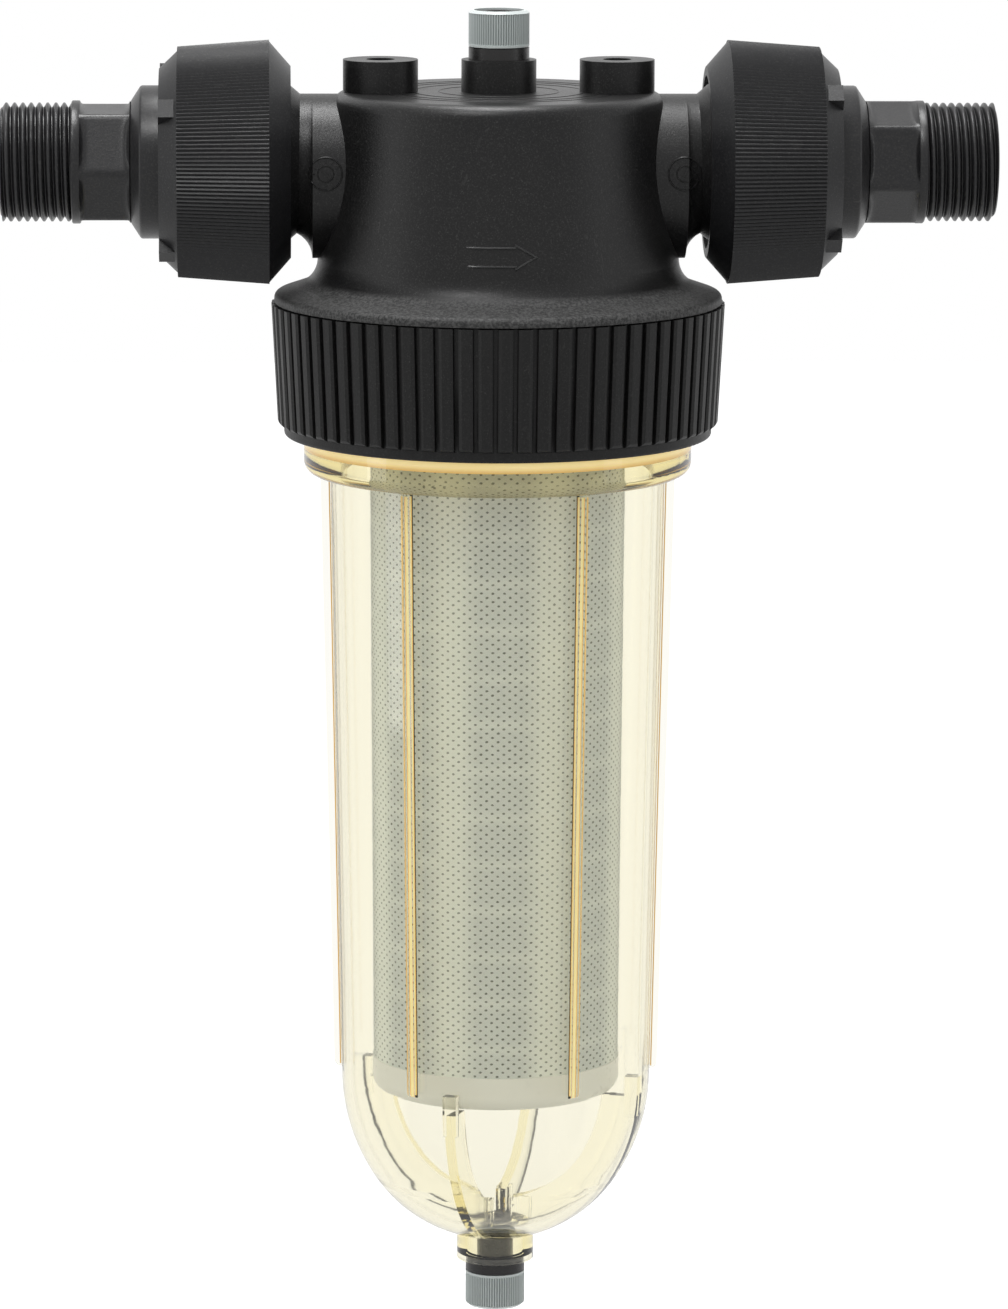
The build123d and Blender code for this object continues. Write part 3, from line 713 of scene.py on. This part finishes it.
def add_part(mesh, part):
    """Join one bmesh to another and free it."""
    data = bpy.data.meshes.new("part")
    part.to_mesh(data)
    part.free()
    mesh.from_mesh(data)
    bpy.data.meshes.remove(data)


def add_bar(mesh, centre_x, centre_z, turn, start, end, width):
    """Low bar in the XZ plane that runs outwards from a centre."""
    size = Matrix.Diagonal((end - start, 0.7 * mm, width, 1.0))
    place = Matrix.Translation((centre_x, 0, centre_z)) @ Matrix.Rotation(-turn, 4, "Y")
    place = place @ Matrix.Translation(((start + end) / 2, 0.02 * mm, 0)) @ size
    bmesh.ops.create_cube(mesh, size=1.0, matrix=place)


def head_top_lines():
    """Fine concentric tool marks round the middle boss."""
    mesh = bmesh.new()
    top_z = head_surface.ray_cast(Vector((0, -20 * mm, 0.1)), Vector((0, 0, -1)))[0].z
    for radius in (16.8 * mm, 24.0 * mm, 29.0 * mm, 33.0 * mm):
        part = bmesh.new()
        outline = [
            (radius - 0.22 * mm, top_z - 0.05 * mm),
            (radius - 0.08 * mm, top_z + 0.12 * mm),
            (radius + 0.08 * mm, top_z + 0.12 * mm),
            (radius + 0.22 * mm, top_z - 0.05 * mm),
        ]
        spun(part, outline, Vector((0, 0, 1)), 120)
        cut_behind_bosses(part)
        add_part(mesh, part)
    finish_piece("head_top_lines", mesh, head_black, "head")


def cut_behind_bosses(mesh):
    """Drop the part of a tool mark that would run through a bracket boss."""
    boss_x, boss_r, half_span = 33.1 * mm, 10.5 * mm, 10.4 * mm
    inside = []
    for face in mesh.faces:
        centre = face.calc_center_median()
        off_x = abs(centre.x) - boss_x
        if abs(off_x) < half_span and sqrt(off_x**2 + centre.y**2) < boss_r:
            inside.append(face)
    bmesh.ops.delete(mesh, geom=inside, context="FACES")
    open_edges = [edge for edge in mesh.edges if edge.is_boundary]
    bmesh.ops.holes_fill(mesh, edges=open_edges, sides=0)


flats_start_x, flats_end_x = 103.0 * mm, 117.1 * mm


def tail_radius(x, turn, hexagon_turn):
    """Radius of the union tail's spanner flats, which run out in shallow curves at both ends."""
    corner_r, flat_r = 17.1 * mm, 15.0 * mm
    run_out = 2.2 * mm
    sector = (turn - hexagon_turn + pi / 6) % (pi / 3) - pi / 6
    flat = min(corner_r, flat_r / cos(sector))
    reach = min(x - flats_start_x, flats_end_x - x) / run_out
    depth = 1.0 if reach >= 1.0 else sqrt(max(0.0, 1.0 - (1.0 - max(0.0, reach)) ** 2))
    return corner_r - (corner_r - flat) * depth


def union_tail(name, side, hexagon_turn):
    """Union tail with spanner flats and a parallel pipe thread that can be counted."""
    bore_r = 12.5 * mm
    root_r, crest_r, pitch = 15.25 * mm, 16.62 * mm, 2.309 * mm
    face_x, end_x = 84.0 * mm, 139.2 * mm
    axis = Vector((side, 0, 0))
    mesh = bmesh.new()
    plain = [
        (bore_r, face_x),
        (23.0 * mm, face_x),
        (23.3 * mm, face_x + 0.3 * mm),
        (23.3 * mm, face_x + 4.0 * mm),
        (21.4 * mm, face_x + 4.0 * mm),
        (21.4 * mm, 99.6 * mm),
        (21.2 * mm, 100.1 * mm),
        (20.8 * mm, 100.4 * mm),
        (17.4 * mm, 102.6 * mm),
        (16.6 * mm, flats_start_x),
        (16.0 * mm, flats_start_x),
        (bore_r, flats_start_x),
    ]
    spun(mesh, plain, axis)
    threaded = [
        (bore_r, 116.9 * mm),
        (17.0 * mm, 116.9 * mm),
        (17.2 * mm, 117.2 * mm),
        (17.2 * mm, 119.0 * mm),
        (16.9 * mm, 119.3 * mm),
        (root_r, 119.3 * mm),
        (root_r, end_x - 0.4 * mm),
        (root_r - 0.4 * mm, end_x),
        (bore_r + 0.6 * mm, end_x),
        (bore_r, end_x - 0.6 * mm),
    ]
    part = bmesh.new()
    spun(part, threaded, axis)
    add_part(mesh, part)
    add_part(mesh, spanner_flats(side, hexagon_turn, bore_r))
    add_part(mesh, thread_ridge(side, root_r, crest_r, pitch, 117.4 * mm, end_x))
    bmesh.ops.translate(mesh, verts=mesh.verts, vec=(0, 0, pipe_z))
    mark_sharp(mesh, 40.0)
    piece = finish_piece(f"{name}_tail_threaded", mesh, tail_black, f"{name}_union")
    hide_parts(f"{name}_tail")


def spanner_flats(side, hexagon_turn, bore_r):
    """The tail's hexagon, drawn out loop by loop from its bore."""
    part = bmesh.new()
    first_x, last_x, stations = flats_start_x, flats_end_x, 18
    loop = bmesh.ops.create_circle(part, segments=144, radius=1.0)["verts"]
    turns = {vert: atan2(vert.co.y, vert.co.x) for vert in loop}
    current = loop

    def set_station(verts, x, radius_of):
        for vert in verts:
            turn = turns[vert]
            radius = radius_of(turn)
            vert.co = Vector((side * x, radius * cos(turn), radius * sin(turn)))

    def next_loop(verts):
        inside = set(verts)
        edges = {edge for vert in verts for edge in vert.link_edges if edge.other_vert(vert) in inside}
        new = bmesh.ops.extrude_edge_only(part, edges=list(edges))["geom"]
        new = [item for item in new if isinstance(item, bmesh.types.BMVert)]
        for vert in new:
            for edge in vert.link_edges:
                other = edge.other_vert(vert)
                if other in turns and other not in new:
                    turns[vert] = turns[other]
        return new

    set_station(current, first_x, lambda turn: bore_r)
    for station in range(stations + 1):
        x = first_x + (last_x - first_x) * station / stations
        current = next_loop(current)
        set_station(current, x, lambda turn: tail_radius(x, turn, hexagon_turn))
    current = next_loop(current)
    set_station(current, last_x, lambda turn: bore_r)
    first = [edge for edge in part.edges if edge.is_boundary]
    bmesh.ops.bridge_loops(part, edges=first)
    bmesh.ops.recalc_face_normals(part, faces=part.faces)
    return part


def thread_ridge(side, root_r, crest_r, pitch, first_x, end_x):
    """Helical ridge of a pipe thread, trimmed square at the free end."""
    part = bmesh.new()
    steps_per_turn = 48
    flat = 0.14 * pitch
    half = 0.46 * pitch
    corners = [
        (root_r - 0.1 * mm, -half),
        (root_r + 0.1 * mm, -half),
        (crest_r - 0.1 * mm, -flat),
        (crest_r, -flat * 0.4),
        (crest_r, flat * 0.4),
        (crest_r - 0.1 * mm, flat),
        (root_r + 0.1 * mm, half),
        (root_r - 0.1 * mm, half),
    ]
    verts = [part.verts.new((side * (first_x + half + x), -radius, 0)) for radius, x in corners]
    face = part.faces.new(verts)
    turns = ceil((end_x - first_x) / pitch)
    bmesh.ops.spin(
        part,
        geom=[face, *face.verts, *face.edges],
        cent=(0, 0, 0),
        axis=(side, 0, 0),
        angle=tau * turns,
        steps=steps_per_turn * turns,
        dvec=(side * pitch / steps_per_turn, 0, 0),
    )
    cut_x = end_x - 0.5 * mm
    bmesh.ops.bisect_plane(
        part,
        geom=[*part.verts, *part.edges, *part.faces],
        plane_co=(side * cut_x, 0, 0),
        plane_no=(side, 0, 0),
        clear_outer=True,
    )
    open_edges = [edge for edge in part.edges if edge.is_boundary]
    bmesh.ops.holes_fill(part, edges=open_edges, sides=0)
    bmesh.ops.recalc_face_normals(part, faces=part.faces)
    return part


def filter_stocking():
    """Dotted filter cloth, one sheet rolled into a tube and stretched over the cage."""
    low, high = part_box("filter_sleeve")
    top_r = high.x
    end_r = top_r - 1.2 * mm
    columns, rows = 144, 24
    mesh = bmesh.new()
    bmesh.ops.create_cone(
        mesh, segments=columns, radius1=1.0, radius2=1.0, depth=1.0, cap_ends=False
    )
    upright = [edge for edge in mesh.edges if abs(edge.verts[0].co.z - edge.verts[1].co.z) > 0.5]
    bmesh.ops.subdivide_edges(mesh, edges=upright, cuts=rows)
    layer = mesh.loops.layers.uv.new("unrolled")
    length = high.z - low.z
    for face in mesh.faces:
        middle = face.calc_center_median()
        middle_turn = atan2(middle.y, middle.x)
        for loop in face.loops:
            turn = atan2(loop.vert.co.y, loop.vert.co.x)
            while turn < middle_turn - pi:
                turn += tau
            while turn > middle_turn + pi:
                turn -= tau
            loop[layer].uv = ((turn + pi) / tau * cloth_girth, (loop.vert.co.z + 0.5) * length)
    for vert in mesh.verts:
        share = 0.5 - vert.co.z
        radius = top_r - 0.25 * mm + (end_r - top_r) * share
        turn = atan2(vert.co.y, vert.co.x)
        height = high.z - share * length
        vert.co = Vector((radius * cos(turn), radius * sin(turn), height))
    bmesh.ops.recalc_face_normals(mesh, faces=mesh.faces)
    piece = finish_piece("filter_stocking", mesh, cloth, "head")
    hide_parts("filter_sleeve")


def wall_radius(height):
    """Outer radius of the bowl's wall at a height, from its size at the collar and at the dome."""
    top_z, end_z = pipe_z - 87.5 * mm, pipe_z - 260.9 * mm
    top_r, taper = 47.3, 3.2
    share = (top_z - height) / (top_z - end_z)
    return (top_r - taper * share) * mm


def rib_light_strips():
    """Painted light: opaque golden strips at the roots of the bowl's six ribs, in place of the light
    that gathers in the plastic there.
    """
    mesh = bmesh.new()
    top_z, end_z = pipe_z - 88.6 * mm, pipe_z - 259.2 * mm
    half_width, depth, sunk = 0.78 * mm, 0.35 * mm, 0.15 * mm
    rib_turn = radians(-3.0)
    ribs = 6
    for rib in range(ribs):
        part = bmesh.new()
        bmesh.ops.create_cube(part, size=1.0)
        upright = [edge for edge in part.edges if abs(edge.verts[0].co.z - edge.verts[1].co.z) > 0.5]
        bmesh.ops.bevel(
            part, geom=upright, offset=0.2, affect="EDGES", segments=2, profile=0.5, material=-1
        )
        upright = [edge for edge in part.edges if abs(edge.verts[0].co.z - edge.verts[1].co.z) > 0.5]
        bmesh.ops.subdivide_edges(part, edges=upright, cuts=12)
        layer = part.loops.layers.uv.new("across")
        for face in part.faces:
            for loop in face.loops:
                loop[layer].uv = (loop.vert.co.y + 0.5, loop.vert.co.z + 0.5)
        for vert in part.verts:
            height = top_z + (end_z - top_z) * (0.5 - vert.co.z)
            radius = wall_radius(height) + sunk + depth * (vert.co.x + 0.5)
            vert.co = Vector((radius, vert.co.y * 2 * half_width, height))
        turn = Matrix.Rotation(rib_turn + tau * rib / ribs, 3, "Z")
        bmesh.ops.rotate(part, verts=part.verts, cent=(0, 0, 0), matrix=turn)
        add_part(mesh, part)
    mark_sharp(mesh, 50.0)
    finish_piece("rib_light_strips", mesh, painted_rib_light, "bowl")


def collar_light_band():
    """Painted light: an opaque golden band just under the clamp ring, in place of the light that the
    bowl's flange gathers there.
    """
    mesh = bmesh.new()
    top_z, low_z = pipe_z - 76.0 * mm, pipe_z - 80.4 * mm
    outer_r, depth = 54.5 * mm, 0.5 * mm
    outline = [
        (outer_r - depth, low_z),
        (outer_r, low_z),
        (outer_r, (low_z + top_z) / 2),
        (outer_r, top_z),
        (outer_r - depth, top_z),
        (outer_r - depth, (low_z + top_z) / 2),
    ]
    spun(mesh, outline, Vector((0, 0, 1)), 160)
    layer = mesh.loops.layers.uv.new("across")
    for face in mesh.faces:
        for loop in face.loops:
            share = (loop.vert.co.z - low_z) / (top_z - low_z)
            loop[layer].uv = (share, atan2(loop.vert.co.y, loop.vert.co.x) / tau)
    finish_piece("collar_light_band", mesh, painted_rim_light, "bowl")


flow_arrow()
rib_light_strips()
collar_light_band()
mould_dial("inlet_mould_dial", -48.6 * mm, pipe_z - 1.2 * mm, radians(-40))
mould_dial("outlet_mould_dial", 51.0 * mm, pipe_z - 1.2 * mm, radians(-120))
head_top_lines()
union_tail("inlet", -1, radians(35.5))
union_tail("outlet", 1, radians(50))
filter_stocking()


# Stage, lights and camera

def seen_directly(tree):
    """One for camera, mirror and glass rays, and zero for the rays that light the object."""
    path = tree.nodes.new("ShaderNodeLightPath")
    seen = add_math(tree, "MAXIMUM", path.outputs["Is Camera Ray"], path.outputs["Is Glossy Ray"])
    return add_math(tree, "MAXIMUM", seen, path.outputs["Is Transmission Ray"])


def white_world():
    """White surroundings, softer for the rays that light the object."""
    world = bpy.data.worlds.new("white_studio")
    bpy.context.scene.world = world
    world.use_nodes = True
    tree = world.node_tree
    background = tree.nodes["Background"]
    background.inputs["Color"].default_value = (1.0, 1.0, 1.0, 1.0)
    strength = add_range(tree, seen_directly(tree), 0.0, 1.0, 0.4, 1.0)
    tree.links.new(strength, background.inputs["Strength"])


def pale_floor():
    """Pale floor far below the object, seen as white by the camera and in the clear plastic."""
    mesh = bmesh.new()
    bmesh.ops.create_grid(mesh, x_segments=1, y_segments=1, size=4.0)
    data = bpy.data.meshes.new("pale_floor")
    mesh.to_mesh(data)
    mesh.free()
    floor = bpy.data.objects.new("pale_floor", data)
    floor.location.z = cad_box[0].z - 0.25
    bpy.context.scene.collection.objects.link(floor)
    material = bpy.data.materials.new("pale_floor")
    material.use_nodes = True
    tree = material.node_tree
    shader = tree.nodes["Principled BSDF"]
    shader.inputs["Base Color"].default_value = (0.9, 0.9, 0.9, 1.0)
    shader.inputs["Roughness"].default_value = 0.9
    shader.inputs["Specular IOR Level"].default_value = 0.0
    path = tree.nodes.new("ShaderNodeLightPath")
    lift = tree.nodes.new("ShaderNodeEmission")
    glow = add_math(tree, "MULTIPLY", path.outputs["Is Camera Ray"], 0.75)
    tree.links.new(glow, lift.inputs["Strength"])
    lit = tree.nodes.new("ShaderNodeAddShader")
    tree.links.new(shader.outputs[0], lit.inputs[0])
    tree.links.new(lift.outputs[0], lit.inputs[1])
    white = tree.nodes.new("ShaderNodeEmission")
    is_glossy, is_transmission = path.outputs["Is Glossy Ray"], path.outputs["Is Transmission Ray"]
    mirrored = add_math(tree, "MAXIMUM", is_glossy, is_transmission)
    mix = tree.nodes.new("ShaderNodeMixShader")
    tree.links.new(mirrored, mix.inputs[0])
    tree.links.new(lit.outputs[0], mix.inputs[1])
    tree.links.new(white.outputs[0], mix.inputs[2])
    tree.links.new(mix.outputs[0], tree.nodes["Material Output"].inputs["Surface"])
    data.materials.append(material)


def soft_light(name, place, target, width, height, watts):
    """Rectangular lamp that faces a target."""
    data = bpy.data.lights.new(name, "AREA")
    data.shape = "RECTANGLE"
    data.size, data.size_y = width, height
    data.energy = watts
    light = bpy.data.objects.new(name, data)
    light.location = place
    light.rotation_euler = (Vector(target) - Vector(place)).to_track_quat("-Z", "Y").to_euler()
    bpy.context.scene.collection.objects.link(light)


def add_camera():
    """Camera at the photograph's place, tilted down, with no shift."""
    image_long_side = 1309
    distance = 1.88
    tilt = radians(9.935)
    height = pipe_z + 0.1892
    focal_px = 6726
    aim = Vector((0.002, 0.0, height - distance * sin(tilt) / cos(tilt)))
    turn = radians(-2.0)
    place = Vector((aim.x + distance * sin(turn), -distance * cos(turn), height))
    data = bpy.data.cameras.new("camera")
    data.sensor_width = 36.0
    data.lens = focal_px * data.sensor_width / image_long_side
    data.clip_start = 0.05
    camera = bpy.data.objects.new("camera", data)
    camera.location = place
    roll = Matrix.Rotation(radians(0.2), 4, "Z")
    look = (aim - place).to_track_quat("-Z", "Y").to_matrix().to_4x4()
    camera.matrix_world = Matrix.Translation(place) @ look @ roll
    bpy.context.scene.collection.objects.link(camera)
    bpy.context.scene.camera = camera


white_world()
pale_floor()
middle = Vector((0, 0, -0.15))
soft_light("overhead_softbox", (-0.05, 0.2, 1.15), middle, 0.38, 0.7, 14.0)
soft_light("key_softbox", (-0.4, -0.7, 1.25), middle, 0.4, 0.4, 10.0)
soft_light("left_softbox", (-1.3, -0.3, 0.1), middle, 0.35, 1.2, 2.0)
soft_light("right_softbox", (1.3, -0.5, 0.2), middle, 0.35, 1.2, 1.2)
add_camera()
bpy.context.scene.view_settings.view_transform = "Standard"
